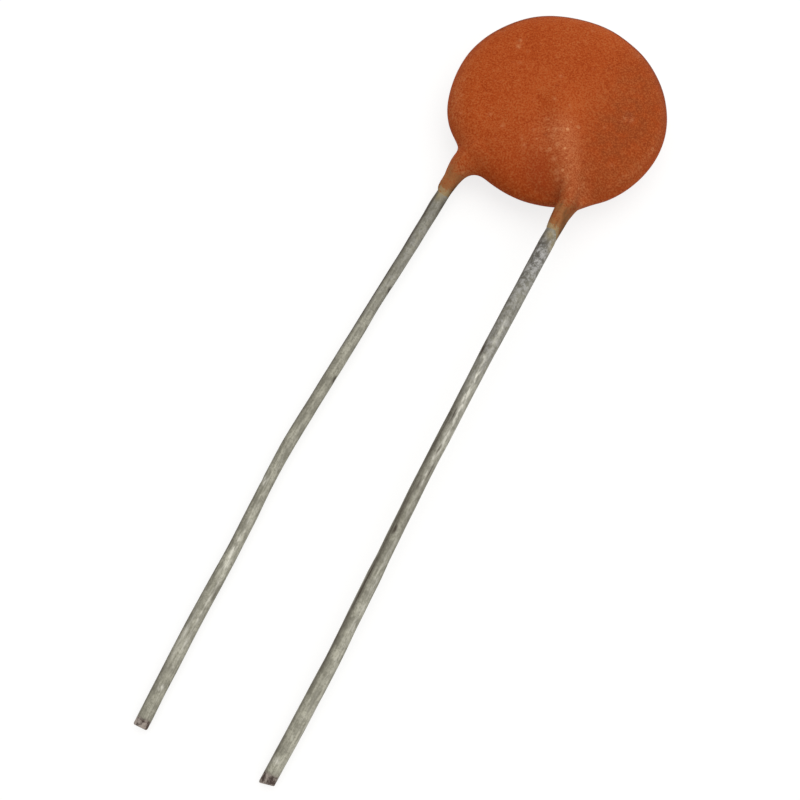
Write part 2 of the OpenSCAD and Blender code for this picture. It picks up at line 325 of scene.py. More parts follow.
@dataclass(frozen=True)
class PhenolicDip:
    """Dipped phenolic resin filled with mineral powder, cured: matt, finely grained, orange-brown.

    The filler stands at the surface, so it scatters light and hardly shines. Where the resin runs
    out on a wire it is thin enough to see the tin through, and turns olive and then straw yellow.
    """

    body: str = "#b6531e"
    body_deep: str = "#973705"
    # pale filler powder, also the colour of the painted light on the rim and beside the sleeves
    filler: str = "#d2895a"
    # deep red-brown of the painted shade on the face and round the far rim, and of the pits
    painted_shade_and_pit: str = "#86300b"
    dull: str = "#8a3b12"
    thin: str = "#9c683d"
    thinnest: str = "#a48e68"
    # brown stains on the sleeves, also a painted shade line along the far edge
    stain: str = "#43301c"
    ior: float = 1.55          # cured phenolic resin
    roughness: float = 0.72
    gloss: float = 0.08        # share of the plain resin's gloss that the powdery skin keeps
    grain: float = 0.072       # mm, clumps of filler: single grains of 0.02 to 0.05 mm are too fine to show
    mottle: float = 0.42       # mm, clouds in the grain
    cloud: float = 2.6         # mm, slow changes of shade
    speck_pitch: float = 0.31  # mm between the pale specks
    relief: float = 0.015      # mm, height of the grain

    def build(self) -> Material:
        """Returns the material, which reads the film, the pale powder with painted light, the painted shade,
        the dull patches, the stains with a painted shade line, the specks and the pits.
        """
        material = empty_material("matt_phenolic_dip")
        tree = material.node_tree
        value = {
            name: add_node(tree, "Attribute", attribute_name=name).outputs["Fac"]
            for name in ("film", "ridge", "painted_shade_and_pit", "dull", "stain", "speck", "pit")
        }
        value["place"] = add_node(tree, "TexCoord").outputs["Object"]
        cell = add_node(tree, "TexVoronoi", {"Vector": value["place"], "Scale": per_mm(self.speck_pitch)})
        value["off_cell"] = cell.outputs["Distance"]
        value["chance"] = add_node(tree, "SeparateColor", {0: cell.outputs["Color"]}).outputs[0]
        noises = (
            ("grain", "place", self.grain, 3.0, 0.65, 0.0),
            ("mottle", "place", self.mottle, 2.0, 0.5, 0.0),
            ("cloud", "place", self.cloud, 1.0, 0.5, 0.0),
        )
        steps = (
            ("shade", TIMES_PLUS, "grain", 3.1, -1.15),
            ("shade", TIMES_PLUS, "mottle", 0.45, "shade"),
            ("shade", TIMES_PLUS, "cloud", 0.5, "shade"),
            ("shade", RANGE, "shade", 0.44, 1.22, 0.0, 1.0),
            ("reach", RANGE, "chance", 0.3, 1.0, 0.0, 0.36),   # each cell's speck has its own size
            ("specks", LESS, "reach", "off_cell"),
            ("specks", RANGE, "specks", 0.0, 0.08, 0.0, 1.0),
            ("crowd", RANGE, "ridge", 0.1, 0.9, 0.06, 0.95),
            ("specks", TIMES, "specks", "crowd"),
            ("ragged", RANGE, "grain", 0.36, 0.62, 0.65, 1.3),
            ("speck", TIMES, "speck", "ragged"),               # the grains that have a set place
            ("speck", LARGER, "specks", "speck"),
            ("patchy", RANGE, "mottle", 0.35, 0.65, 0.55, 1.35),
            ("dull", TIMES, "dull", "patchy"),
            ("uncovered", RANGE, "shade", 0.0, 1.0, 1.5, 0.5),
            ("dull", TIMES, "dull", "uncovered"),
            # This share lays pale filler powder and painted light
            ("powder", RANGE, "grain", 0.4, 0.66, 0.13, 0.48),
            ("powder", TIMES, "powder", "ridge"),
            ("blotchy", RANGE, "mottle", 0.35, 0.65, 0.76, 1.2),
            ("uneven", TIMES_PLUS, "shade", 0.4, -0.2),
            ("film", TIMES_PLUS, "film", "blotchy", "uneven"),
            ("thin", RANGE, "film", 0.05, 0.5, 0.0, 0.85),
            ("thinnest", RANGE, "film", 0.66, 1.0, 0.0, 0.9),
            ("grainy", RANGE, "grain", 0.36, 0.62, 0.7, 1.15),
            ("stain", HELD_TIMES, "stain", "grainy"),
            ("height", TIMES_PLUS, "mottle", 0.8, "grain"),
        )
        # The pale filler layer is also painted light, the deep red-brown layer painted shade as well as the
        # pits, and the dark brown layer stains and a painted shade line
        layers = (
            (None, self.body_deep), ("shade", self.body), ("painted_shade_and_pit", self.painted_shade_and_pit), ("powder", self.filler),
            ("speck", self.filler), ("dull", self.dull), ("pit", self.painted_shade_and_pit), ("thin", self.thin),
            ("thinnest", self.thinnest), ("stain", self.stain),
        )
        lay_finish(tree, value, noises, steps, layers, self.relief, {
            "Roughness": self.roughness, "IOR": self.ior, "Specular IOR Level": self.gloss})
        return material


@dataclass(frozen=True)
class TinnedWire:
    """Drawn wire with a thin hot-dipped tin plate, stored for years: dull and unevenly oxidised.

    The oxide is a greenish-grey skin that scatters light, worn through to bare tin along
    streaks from drawing and handling, with brown tarnish where flux or fingers touched it. Painted shade
    darkens the flanks, and painted highlights brighten the upper +X side and the top of the cut end.
    """

    # bare tin, also the colour of the painted highlights
    tin: str = "#d2cfc3"
    oxide: str = "#aeab9a"
    oxide_deep: str = "#7f7c6e"
    crust_dark: str = "#585551"
    crust_pale: str = "#b9b7b4"
    # brown tarnish, also the colour of the painted shade along the flanks
    tarnish: str = "#453d33"
    straw: str = "#a08b57"
    cut_dark: str = "#4a3d37"
    cut_pale: str = "#a99d93"
    roughness_tin: float = 0.55
    roughness_oxide: float = 0.82
    gloss: float = 0.2         # the powdery oxide keeps this share of a smooth skin's gloss
    blotch: float = 0.5        # mm, patches of thicker oxide
    fleck: float = 0.085       # mm, pits and flecks
    lump: float = 0.22         # mm, lumps of the crust and of the cut face
    streak_long: float = 1.6   # mm, length of drawing streaks
    streak_wide: float = 0.09  # mm, their width
    chip_long: float = 0.3     # mm, length of the chips where the skin has flaked off
    chip_wide: float = 0.08    # mm, their width
    relief: float = 0.006      # mm, depth of pits and streaks

    def build(self) -> Material:
        """Returns the material, which reads the straightened places, the tarnish with painted flank shade,
        the bare tin with painted highlights, the crust, the straw film and the cut.
        """
        material = empty_material("oxidised_tin_plate")
        tree = material.node_tree
        value = {
            name: add_node(tree, "Attribute", attribute_name=name).outputs["Fac"]
            for name in ("tarnish", "bare", "crust", "straw", "cut")
        }
        place = value["place"] = add_node(tree, "Attribute", attribute_name="straight").outputs["Vector"]
        for name, wide, long in (
            ("drawn", self.streak_wide, self.streak_long),
            ("flaked", self.chip_wide, self.chip_long),
        ):
            stretched = add_node(tree, "Mapping", {"Vector": place, "Scale": (wide / long, 1.0, 1.0)})
            value[name] = stretched.outputs[0]
        noises = (
            ("streak", "drawn", self.streak_wide, 3.0, 0.6, 0.0),
            ("blotch", "place", self.blotch, 4.0, 0.6, 0.4),
            ("fleck", "place", self.fleck, 2.0, 0.7, 0.0),
            ("lump", "place", self.lump, 4.0, 0.72, 0.15),
            ("chip", "flaked", self.chip_wide, 2.0, 0.55, 0.0),
        )
        steps = (
            ("worn", TIMES_PLUS, "streak", 1.0, -0.63),
            ("worn", TIMES_PLUS, "blotch", 0.9, "worn"),
            ("worn", TIMES_PLUS, "fleck", 0.36, "worn"),
            ("worn", RANGE, "worn", 0.34, 0.68, 0.0, 1.0),
            ("pits", RANGE, "fleck", 0.36, 0.48, 0.6, 0.0),
            ("pale", RANGE, "lump", 0.43, 0.59, 0.0, 1.0),
            ("crusted", TIMES, "pale", "crust"),
            ("cut_lit", TIMES, "pale", "cut"),
            ("chip", RANGE, "chip", 0.42, 0.6, 0.3, 1.55),
            ("bare", HELD_TIMES, "chip", "bare"),
            # smudge lays the brown marks and the painted shade along the flanks
            ("smudge", RANGE, "streak", 0.34, 0.62, 0.45, 1.4),
            ("smudge", HELD_TIMES, "smudge", "tarnish"),
            ("metal", RANGE, "worn", 0.0, 1.0, 0.0, 0.14),
            ("metal", HELD_TIMES_PLUS, "bare", 0.4, "metal"),
            ("rough", RANGE, "worn", 0.0, 1.0, self.roughness_oxide, self.roughness_tin),
            ("lumps", TIMES, "lump", "crust"),
            ("height", TIMES_PLUS, "fleck", 0.7, "streak"),
            ("height", TIMES_PLUS, "lumps", 2.5, "height"),
        )
        # The tin layer also paints highlights, and the tarnish layer painted shade along the flanks
        layers = (
            (None, self.oxide_deep), ("worn", self.oxide), ("crust", self.crust_dark),
            ("crusted", self.crust_pale), ("pits", self.oxide_deep), ("straw", self.straw),
            ("bare", self.tin), ("smudge", self.tarnish), ("cut", self.cut_dark), ("cut_lit", self.cut_pale),
        )
        lay_finish(tree, value, noises, steps, layers, self.relief, {
            "Metallic": "metal", "Roughness": "rough", "Specular IOR Level": self.gloss})
        return material


@dataclass(frozen=True)
class InnerFinish:
    """A finish of the stack inside the coat: base colour, how it varies, and how it shines."""

    name: str
    colour: str
    second: str
    pattern: float             # mm
    relief: float              # mm
    roughness: float
    metallic: float = 0.0

    def build(self) -> Material:
        """Returns the material."""
        material = empty_material(self.name)
        tree = material.node_tree
        value = {"place": add_node(tree, "TexCoord").outputs["Object"]}
        noises = (("height", "place", self.pattern, 4.0, 0.5, 0.0),)
        layers = ((None, self.colour), ("height", self.second))
        lay_finish(tree, value, noises, (), layers, self.relief, {
            "Metallic": self.metallic, "Roughness": self.roughness})
        return material


# Barium titanate, pressed and fired without a glaze: chalky, a warm buff, with pressed grains
FIRED_CERAMIC = InnerFinish("unglazed_titanate_ceramic", "#c9b48e", "#b39d78", 0.2, 0.006, 0.85)
# Silver paste, screened and fired: a pale, satin, slightly porous metal film
FIRED_SILVER = InnerFinish("fired_silver_paste", "#dcdad4", "#c3c1ba", 0.15, 0.004, 0.45, 1.0)
# Tin-lead solder, cooled from a bath: a smooth satin grey with soft grains
BATH_SOLDER = InnerFinish("tin_lead_solder", "#a7a8aa", "#8f9093", 0.5, 0.01, 0.35, 1.0)


# ---------------- the leads


@dataclass
class LeadPath:
    """Centreline of a lead, read from its CAD solid, in mm, evenly spaced from its inner end."""

    node: str
    wire_r: float = 0.275
    spacing: float = 0.1
    inner_skip: float = 1.3    # wire radii at the inner end, whose slant cuts the slices short
    outer_skip: float = 0.08   # the same at the outer end, in mm
    end_gap: float = 0.01      # how far before the solid's outer end the line stops
    smoothing: int = 3         # passes
    rim_search: tuple[int, int] = (10, 200)         # stations among which the lead leaves the disc
    rim: float = 0.0           # length at which it does
    stations: Array = field(init=False)
    points: Array = field(init=False)
    tangents: Array = field(init=False)
    length: float = field(init=False)

    def __post_init__(self) -> None:
        """Runs the line of the slices' middles on to both ends and spaces it evenly."""
        line, top, bottom = self.slice_middles()
        for _ in range(self.smoothing):
            line[1:-1] = (line[:-2] + 2 * line[1:-1] + line[2:]) / 4
        start, end = (step / np.linalg.norm(step) for step in (line[0] - line[1], line[-1] - line[-2]))
        inner = top - self.wire_r * abs(start[0]) - line[0, 1]
        outer = line[-1, 1] - bottom - self.end_gap
        line = np.vstack([line[0] + start * inner / start[1], line, line[-1] - end * outer / end[1]])
        run = np.concatenate([[0], np.cumsum(np.linalg.norm(np.diff(line, axis=0), axis=1))])
        self.length = run[-1]
        self.stations = np.linspace(0, self.length, int(round(self.length / self.spacing)) + 1)
        self.points = read_off(self.stations, run, line)
        tangents = np.gradient(self.points, axis=0)
        self.tangents = tangents / np.linalg.norm(tangents, axis=1)[:, None]

    def slice_middles(self) -> tuple[Array, float, float]:
        """Slices the solid across Y.

        Returns:
            The slices' middles from the inner end on, and the solid's largest and smallest Y.
        """
        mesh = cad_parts[self.node].data
        corners = np.array([v.co for v in mesh.vertices]) / MM
        edges = corners[np.array([e.vertices for e in mesh.edges])]
        a, b = edges[:, 0], edges[:, 1]
        top, bottom = corners[:, 1].max(), corners[:, 1].min()
        middles = []
        for y in np.arange(top - self.inner_skip * self.wire_r, bottom + self.outer_skip, -self.spacing):
            cut = (a[:, 1] - y) * (b[:, 1] - y) < 0
            share = ((y - a[cut, 1]) / (b[cut, 1] - a[cut, 1]))[:, None]
            ring = a[cut] + share * (b[cut] - a[cut])
            middles.append((ring.min(0) + ring.max(0)) / 2)
        return np.array(middles), top, bottom

    def find_rim(self, centre: Array, radius: float) -> None:
        """Notes where the lead leaves a disc of this centre and radius."""
        near = slice(*self.rim_search)
        self.rim = float(np.interp(radius, apart(*self.points[near, :2].T, centre), self.stations[near]))

    def middle(self, past_rim: float) -> Array:
        """Returns the centreline's point at this length past the rim."""
        return read_off(self.rim + past_rim, self.stations, self.points)

    def sides(self, tangents: Array) -> tuple[Array, Array]:
        """Returns the directions to the left of and above a lead that runs along `tangents`."""
        left = np.cross([0.0, 0.0, 1.0], tangents)
        left /= np.linalg.norm(left, axis=-1)[..., None]
        return left, np.cross(tangents, left)

    def place(self, along: Array, radius: Array, angle: Array, flat: Array | float = 1.0) -> Array:
        """Returns points round the lead.

        Args:
            along: place along the lead in mm, 0 at its inner end.
            radius: distance from its centreline in mm.
            angle: angle round it in radians, 0 at its left and a quarter turn at its top.
            flat: share of the height that is kept.

        Returns:
            The points in mm.
        """
        middle, tangent = (read_off(along, self.stations, table) for table in (self.points, self.tangents))
        beyond = along - np.clip(along, 0, self.length)
        left, up = self.sides(tangent)
        across, over = radius * np.cos(angle), radius * (flat * np.sin(angle))
        return middle + beyond[..., None] * tangent + (across[..., None] * left + over[..., None] * up)

    def around(self, points: Array) -> tuple[Array, Array, Array]:
        """Finds points' places by the lead.

        Args:
            points: in mm.

        Returns:
            How far along the lead from the rim, left of it and above it each point lies, in mm.
        """
        y, keys = -points[:, 1], -self.points[:, 1]
        middle, tangent = (read_off(y, keys, table) for table in (self.points, self.tangents))
        left, up = self.sides(tangent)
        off = points - middle
        along = np.interp(y, keys, self.stations) + (off * tangent).sum(-1) - self.rim
        return along, (off * left).sum(-1), (off * up).sum(-1)


def tube_faces(rings: int, sides: int) -> list[list[int]]:
    """Lists the faces of a tube that a fan closes at each end.

    Args:
        rings: how many rings it has. Their corners come first, then the middles of the two fans.
        sides: corners in a ring.

    Returns:
        Each face's corner numbers, outwards.
    """
    side = np.arange(sides)
    after = (side + 1) % sides
    start = sides * np.arange(rings - 1)[:, None]
    quads = np.stack([start + sides + side, start + sides + after, start + after, start + side], -1)
    hub, last = rings * sides, (rings - 1) * sides
    pairs = list(zip(side.tolist(), after.tolist()))
    return (quads.reshape(-1, 4).tolist() + [[hub, n, m] for n, m in pairs]
            + [[hub + 1, last + m, last + n] for n, m in pairs])


@dataclass
class Lead:
    """One tinned wire, cut off at its end, with the dents and tarnish of a handled part, and painted shade
    and highlights.
    """

    path: LeadPath
    wear: dict[Wear, tuple[Spot, ...]]
    girth: tuple[Span, ...]    # mm along from the rim, and mm wider on each side
    slant: float = 0.0         # mm, how much shorter the cut leaves the wire's left side than its middle
    short: float = 0.03        # mm, how far before the path's end the middle is cut, or past it if below 0
    sides: int = 48
    spacing: float = 0.06
    waviness: float = 0.003    # mm, uneven plate
    wave: Ripple = Ripple(1.8, 11)
    wave_span: Span = (1.2, -0.2)                   # what is taken off it, and its highest value after that
    pinch_length: float = 0.44 # mm, over which the cutter's blades squeezed the end flat
    pinch_left: float = 0.24   # share of the height that is left at the cut
    pinch_curve: float = 1.3   # above 1 the squeeze starts softly
    cut_from: Span = (0.12, 0.2)                    # shares of the pinch: the cut's look starts, grows over
    edge_round: float = 0.06   # mm, over which the cut's edge is rounded
    edge_loss: float = 0.2     # share of the radius that the rounding takes
    edge_rings: tuple[float, ...] = (0.055, 0.04, 0.025, 0.012, 0.003, 0.0)         # mm before the end
    edge_start: float = 0.07   # mm before the end, the last evenly spaced ring
    cap_rings: tuple[float, ...] = (0.82, 0.6, 0.38, 0.18)                          # shares of the radius
    cap_relief: float = 0.010  # mm, roughness of the sheared face
    cap_sink: float = 1.5      # times that, how far the face lies inwards
    cap_grain: Ripple = Ripple(0.25, 5)
    pattern_shift: float = 100.0                    # mm, so that the two wires' patterns differ

    def build(self) -> Object:
        """Returns the wire's mesh object."""
        path = self.path
        even = np.linspace(0, path.length - self.edge_start, int(path.length / self.spacing))
        skin = np.append(even, path.length - np.array(self.edge_rings))
        caps = len(self.cap_rings)
        stations = np.append(skin, np.full(caps, path.length))
        shares = np.append(np.ones(len(skin)), self.cap_rings)[:, None]             # of the radius
        turns = np.linspace(0, 2 * math.pi, self.sides, endpoint=False)
        along, turn = np.meshgrid(stations, turns, indexing="ij")
        past = np.clip((along - path.length) / self.pinch_length + 1, 0, 1)
        flat = 1 - (1 - self.pinch_left) * past**self.pinch_curve
        radius = self.radius_at(along, turn) * shares
        cut_back = (self.short + self.slant * np.cos(turn) * shares) * past
        grid = path.place(along - cut_back, radius, turn, flat)
        cap = grid[-caps:]
        bumps = self.cap_grain.at(cap.reshape(-1, 3)).reshape(caps, -1) - self.cap_sink
        cap += (bumps * self.cap_relief * (1 - shares[-caps:]))[..., None] * path.tangents[-1]
        points = np.vstack([grid.reshape(-1, 3), path.points[0], cap[-1].mean(0)])

        along = np.append(along, (0, path.length))
        turn, radius = (np.append(sheet, (0, 0)) for sheet in (turn, radius))
        places, angles = along - path.rim, np.degrees(turn)
        seen = (wear for wear in Wear if wear is not Wear.DENT)
        sheets = {wear.value: np.clip(self.worn(wear, places, angles), 0, 1) for wear in seen}
        cut = np.clip((past.ravel() - self.cut_from[0]) / self.cut_from[1], 0, 1)
        sheets["cut"] = np.append(cut, (0, 1))
        sheets["straight"] = self.straight(along, turn, radius) * MM
        faces = tube_faces(len(stations), self.sides)
        return mesh_object(path.node + "_wire", points, faces, sheets)

    def radius_at(self, along: Array, turn: Array) -> Array:
        """Works out the radius with the uneven plate, the girth, the dents and the cut's rounded edge.

        Args:
            along: place along the wire in mm, 0 at its inner end.
            turn: angle round it in radians.

        Returns:
            The radius in mm.
        """
        path = self.path
        ripple = self.wave.at(self.straight(along, turn, path.wire_r)).reshape(along.shape)
        lowered, highest = self.wave_span
        radius = path.wire_r + self.waviness * np.minimum(ripple - lowered, highest)
        wider = np.array(self.girth)
        radius = radius + np.interp(along - path.rim, wider[:, 0], wider[:, 1]) * np.cos(turn) ** 2
        radius = radius + self.worn(Wear.DENT, along - path.rim, np.degrees(turn))
        edge = np.clip((along - path.length) / self.edge_round + 1, 0, 1)
        return radius * (1 - self.edge_loss * (1 - np.sqrt(1 - edge**2)))

    def worn(self, wear: Wear, along: Array, angle: Array) -> Array:
        """Returns the total of the wire's spots of one kind at places in mm and angles in degrees."""
        return sum((spot.at(along, angle) for spot in self.wear.get(wear, ())), np.zeros(along.shape))

    def straight(self, along: Array, turn: Array, radius: Array | float) -> Array:
        """Returns each point's place on the wire as if it were straight, in mm."""
        shift = self.pattern_shift * (self.path.node == "rear_lead")
        return np.stack([along.ravel() + shift, (radius * np.cos(turn)).ravel(),
                         (radius * np.sin(turn)).ravel()], -1)


# What wore or stained each wire, and its painted shade and highlights, by place from the rim in mm, angle,
# length in mm, spread and strength
FRONT_WEAR = {
    Wear.DENT: (
        Spot(6.9, 120, 0.1, 30, -0.02), Spot(12.2, 20, 0.5, 40, -0.008), Spot(18.0, 170, 0.8, 40, -0.008),
        Spot(22.5, 0, 3.6, 60, 0.045),
    ),
    Wear.TARNISH: (
        # The first two spots run the whole wire: painted shade along both flanks, darker on the -X side
        Spot(13.0, 180, 30, 36, 0.45), Spot(13.0, -8, 30, 24, 0.3), Spot(2.2, 130, 0.5, 60, 0.5),
        Spot(4.0, 172, 3.5, 34, 0.45), Spot(7.3, 135, 0.3, 16, 0.8), Spot(10.9, 136, 1.9, 33, 0.6),
        Spot(14.1, 119, 2.1, 30, 0.5), Spot(15.1, 105, 0.16, 15, 1.0), Spot(14.0, 36, 2.0, 32, 0.45),
        Spot(17.3, 124, 2.7, 22, 0.6), Spot(20.4, 142, 2.4, 20, 0.45), Spot(24.0, 146, 1.5, 18, 0.3),
        Spot(11.0, 78, 2.4, 40, 0.12), Spot(10.2, 96, 0.32, 7, 0.6), Spot(11.7, 74, 0.3, 6, 0.6),
        Spot(12.5, 54, 0.4, 7, 0.5), Spot(13.2, 90, 0.3, 7, 0.5),
    ),
    Wear.BARE: (
        # The long band at 17.0 mm along the upper +X side and the short spot at 24.2 mm on the top of the cut
        # end are painted highlights
        Spot(22.2, 184, 2.8, 24, 0.9), Spot(11.0, 2, 1.6, 24, 0.8), Spot(22.6, 2, 2.4, 24, 0.5),
        Spot(17.0, 62, 7.0, 26, 0.2), Spot(7.62, 105, 0.1, 14, 0.9), Spot(9.35, 80, 0.28, 13, 0.8),
        Spot(8.7, 74, 0.9, 12, 0.7), Spot(6.2, 76, 0.9, 15, 0.4), Spot(17.8, 178, 2.2, 26, 0.9),
        Spot(11.2, 70, 1.2, 9, 0.4), Spot(17.5, 45, 2.2, 16, 0.25), Spot(24.2, 105, 0.1, 26, 0.8),
        Spot(9.95, 66, 0.22, 8, 0.6), Spot(10.6, 84, 0.2, 7, 0.7), Spot(11.35, 60, 0.28, 7, 0.6),
        Spot(12.1, 86, 0.25, 7, 0.7), Spot(12.9, 68, 0.3, 8, 0.5), Spot(10.6, 78, 2.6, 34, 0.32),
    ),
    Wear.CRUST: (
        Spot(2.6, 100, 1.6, 150, 0.8), Spot(6.2, 100, 3.2, 150, 0.5),
    ),
    Wear.STRAW: (
        Spot(1.85, 95, 0.22, 40, 0.6), Spot(2.2, 20, 0.3, 35, 0.5),
    ),
}
REAR_WEAR = {
    Wear.DENT: (
        Spot(10.9, 8, 0.11, 18, -0.06), Spot(6.55, 8, 0.11, 18, -0.06), Spot(15.8, 150, 0.12, 30, -0.015),
        Spot(2.2, 180, 0.5, 40, 0.03), Spot(5.0, 180, 0.9, 50, -0.008), Spot(7.3, 0, 1.2, 60, -0.035),
        Spot(16.0, 0, 0.9, 60, -0.03), Spot(18.6, 0, 2.0, 60, -0.025),
    ),
    Wear.TARNISH: (
        # The first two spots run the whole wire: painted shade along both flanks, darker on the -X side
        Spot(13.0, 178, 30, 42, 0.72), Spot(13.0, -8, 30, 24, 0.25), Spot(11.8, 110, 1.8, 60, 0.2),
        Spot(23.5, 100, 1.2, 80, 0.12), Spot(2.3, 168, 0.7, 34, 0.5), Spot(2.2, 8, 0.6, 34, 0.6),
        Spot(10.95, 16, 0.12, 24, 1.6), Spot(6.58, 16, 0.12, 24, 1.6), Spot(5.0, 170, 3.5, 40, 0.7),
        Spot(10.0, 165, 2.5, 30, 0.3), Spot(18.0, 165, 2.5, 30, 0.25), Spot(8.6, 170, 2.2, 32, 0.3),
        Spot(4.6, 176, 1.6, 28, 0.3), Spot(20.4, 40, 0.35, 18, 0.5), Spot(23.6, 175, 0.8, 40, 0.4),
        Spot(3.6, 146, 1.9, 24, 0.42), Spot(3.5, 90, 4.0, 300, 0.12),
    ),
    Wear.BARE: (
        # The long band at 17.0 mm along the upper +X side and the short spot at 24.1 mm on the top of the cut
        # end are painted highlights
        Spot(22.2, 106, 1.2, 16, 0.45), Spot(17.0, 60, 6.5, 26, 0.2), Spot(15.8, 118, 0.16, 20, 1.5),
        Spot(18.9, 85, 0.5, 14, 0.8), Spot(20.2, 60, 0.9, 10, 0.5), Spot(22.4, 60, 0.9, 12, 0.4),
        Spot(17.9, 80, 0.8, 10, 0.4), Spot(24.1, 80, 0.1, 26, 0.8),
    ),
    Wear.CRUST: (
        Spot(4.0, 90, 4.5, 200, 0.3),
    ),
    Wear.STRAW: (
        Spot(1.85, 120, 0.3, 60, 0.55),
    ),
}
# How much wider each wire is, at mm from the rim
FRONT_GIRTH = (
    (1.2, 0.0), (2.1, 0.038), (3.0, 0.033), (7.0, 0.026), (7.9, 0.005), (9.9, -0.002), (12.9, -0.008),
    (16.2, -0.012), (16.9, 0.012), (18.4, 0.01), (19.0, -0.002), (24.0, -0.006),
)
REAR_GIRTH = (
    (4.2, 0.0), (5.2, -0.016), (16.5, -0.018), (18.0, -0.006), (20.0, 0.0),
)
# Stains on the sleeves
FRONT_STAINS = (
    Spot(1.4, 6, 0.6, 34, 0.9), Spot(0.9, 172, 0.5, 22, 0.55), Spot(0.35, 38, 0.42, 30, 0.38),
    Spot(0.75, 74, 0.22, 9, 0.5), Spot(1.05, 50, 0.4, 18, 0.5), Spot(0.5, 118, 0.25, 9, 0.4),
    Spot(1.3, 88, 0.18, 8, 0.5),
)
REAR_STAINS = (
    Spot(1.4, 6, 0.5, 34, 1.0), Spot(1.45, 95, 0.3, 50, 0.22), Spot(1.5, 168, 0.3, 24, 0.5),
)


# ---------------- the coat


@dataclass
class Sleeve:
    """How the resin runs from the disc onto one lead, in mm."""

    path: LeadPath
    length: float
    left_fillet: float
    right_fillet: float
    rim_wall: float = 0.12
    end_wall: float = 0.018
    bed_wall: float = 0.12     # over the seated wire
    bed_reach: float = 1.7     # the wall grows to that over this length
    raggedness: float = 0.09   # of its end
    sunk: float = 0.05         # past its ragged end the resin's shape dives this far into the wire
    dive: Span = (0.18, 0.2)   # before and past that end, where it dives
    tail: float = 0.75         # past its mean end, where that shape stops
    blend: float = 0.24        # width of the soft joint with the disc
    web_lift: float = 0.37     # half thickness of the webs beside it, and their rounding
    web_taper: float = 0.45    # how much narrower the sleeve is for the webs, along these shares of it
    taper_span: Span = (0.35, 0.95)
    web_stop: Span = (0.5, 1.6)                     # inside the rim, where the webs stop
    web_gap: float = 4.0       # which is out of every fillet's reach
    descent: Span = (-0.25, 0.55)                   # past the outline, where the webs sink to the wire
    thinning: Span = (-0.35, 0.35)                  # where the film starts to show the tin
    film_reach: Span = (0.5, 1.15)                  # from the wire's middle, where the film fades
    straw_from: float = 0.74   # share of its length from which the film is thinnest
    lumps: tuple[Spot, ...] = ()
    tongues: tuple[Spot, ...] = ()
    stains: tuple[Spot, ...] = ()
    seed: int = 1

    def end_at(self, angle: Array) -> Array:
        """Works out where the resin ends, with its ragged edge and its tongues.

        Args:
            angle: round the wire in degrees, 0 at its left.

        Returns:
            The place in mm past the rim.
        """
        rng = np.random.default_rng(self.seed)
        end = np.full(np.shape(angle), self.length)
        for turns in (1, 2, 3, 5, 8):
            wave = np.cos(np.radians(turns * angle) + rng.uniform(0, 6.28))
            end = end + self.raggedness / turns**1.1 * wave
        for tongue in self.tongues:
            end = end + tongue.at(tongue.along, angle)
        return end

    def wall(self, along: Array, angle: Array) -> Array:
        """Works out how thick the resin is over the wire.

        Args:
            along: place past the rim in mm.
            angle: angle round the wire in degrees.

        Returns:
            The thickness in mm, below 0 where the wire is bare.
        """
        end = self.end_at(angle)
        wall = self.rim_wall + (self.bed_wall - self.rim_wall) * rise(-along, 0, self.bed_reach)
        wall = wall + (self.end_wall - self.rim_wall) * np.clip(along / end, 0, 1)
        for lump in self.lumps:
            wall = wall + lump.at(along, angle)
        return wall - (self.sunk + wall) * rise(along, end - self.dive[0], end + self.dive[1])

    def film(self, along: Array, left: Array, up: Array) -> Array:
        """Works out how thin the resin has run over the wire.

        Args:
            along: place past the rim in mm.
            left: distance to the left of the wire's centreline.
            up: distance above it.

        Returns:
            From 0 on the disc to 1 at the sleeve's end.
        """
        end = self.end_at(np.degrees(np.arctan2(up, left)))
        near = 1 - rise(np.hypot(left, up), *self.film_reach)
        return near * (0.5 * rise(along, *self.thinning) + 0.5 * rise(along, self.straw_from * end, end))

    def tube(self, along: Array, left: Array, up: Array) -> Array:
        """Works out the resin round the wire.

        Args:
            along: place past the rim in mm.
            left: distance to the left of the wire's centreline.
            up: distance above it.

        Returns:
            The distance to its surface, below 0 inside.
        """
        inner = np.maximum(-self.path.rim - along, 0)
        across = np.sqrt(left**2 + up**2 + inner**2)
        tube = across - self.path.wire_r - self.wall(along, np.degrees(np.arctan2(up, left)))
        return np.maximum(tube, along - self.length - self.tail)

    def web(self, beyond: Array, along: Array, left: Array) -> Array:
        """Works out the disc joined to this sleeve by its two fillets, seen from above.

        Args:
            beyond: how far outside the disc's outline.
            along: place past the rim in mm.
            left: distance to the left of the wire's centreline.

        Returns:
            The distance to their outline, below 0 inside.
        """
        reach = np.where(left > 0, self.left_fillet, self.right_fillet)
        start, end = (share * self.length for share in self.taper_span)
        half = self.path.wire_r + self.rim_wall / 2 - self.web_taper * rise(along, start, end)
        lateral = np.abs(left) - half + self.web_gap * rise(-along, *self.web_stop)
        return reach - np.hypot(np.maximum(reach - beyond, 0), np.maximum(reach - lateral, 0))


